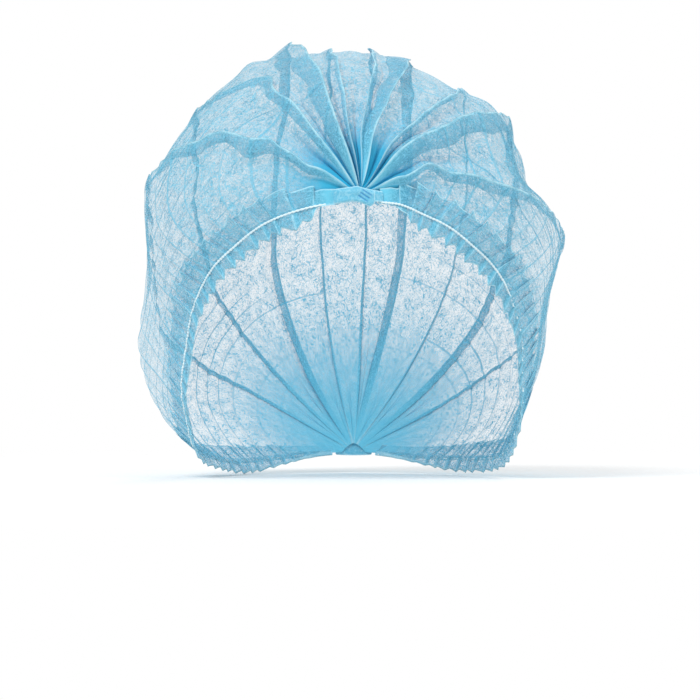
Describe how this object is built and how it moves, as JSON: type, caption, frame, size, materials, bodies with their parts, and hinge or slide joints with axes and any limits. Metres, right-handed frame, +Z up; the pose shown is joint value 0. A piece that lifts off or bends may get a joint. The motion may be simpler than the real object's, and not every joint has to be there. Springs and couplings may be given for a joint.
{
  "type": "disposable hairnet",
  "caption": "Bouffant cap of thin pleated nonwoven cloth, gathered to a weld at front and rear, with an elastic frilled hem round its opening, shown as worn.",
  "frame": {"origin": "seat point in the middle of the hollow, where a head holds the cap, level with the eyes of a wearer", "axes": "+Z up, the front weld faces -Y, +X to the right as seen from the front"},
  "size_m": [0.1844, 0.1963, 0.1897],
  "materials": {
    "cloth": "thin see-through spunbond polypropylene, light blue",
    "hem_cloth": "doubled spunbond polypropylene, light blue, gathered",
    "elastic": "white elastic thread",
    "welded_cloth": "pressed and welded pleat stack, light blue"
  },
  "bodies": {
    "root": {"crown": "cloth", "hem_left": "hem_cloth", "hem_right": "hem_cloth", "elastic_left": "elastic", "elastic_right": "elastic", "weld_front": "welded_cloth", "weld_rear": "welded_cloth"}
  },
  "joints": []
}
